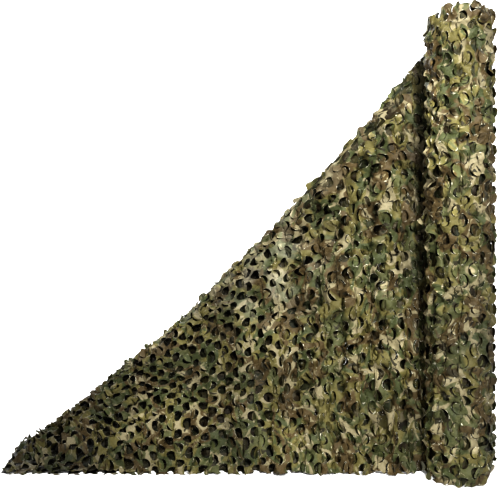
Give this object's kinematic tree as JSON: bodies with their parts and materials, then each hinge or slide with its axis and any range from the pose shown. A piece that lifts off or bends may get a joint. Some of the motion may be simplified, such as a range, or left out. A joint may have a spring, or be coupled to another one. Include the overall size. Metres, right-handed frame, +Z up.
{
  "type": "camouflage net",
  "caption": "Leaf-cut camouflage netting on a standing roll, its loose end drawn out over the floor and folded on the slant.",
  "frame": {"origin": "middle of the roll's lower end, on the floor", "axes": "+Z up along the roll's axis; the loose end runs along -X on the floor and leans back towards +Y"},
  "size_m": [1.6597, 1.173, 1.5034],
  "materials": {
    "net_cloth": "woven polyester with a printed blotch camouflage in khaki, green and brown"
  },
  "bodies": {
    "root": {"net_roll": "net_cloth", "net_sheet": "net_cloth"}
  },
  "joints": []
}
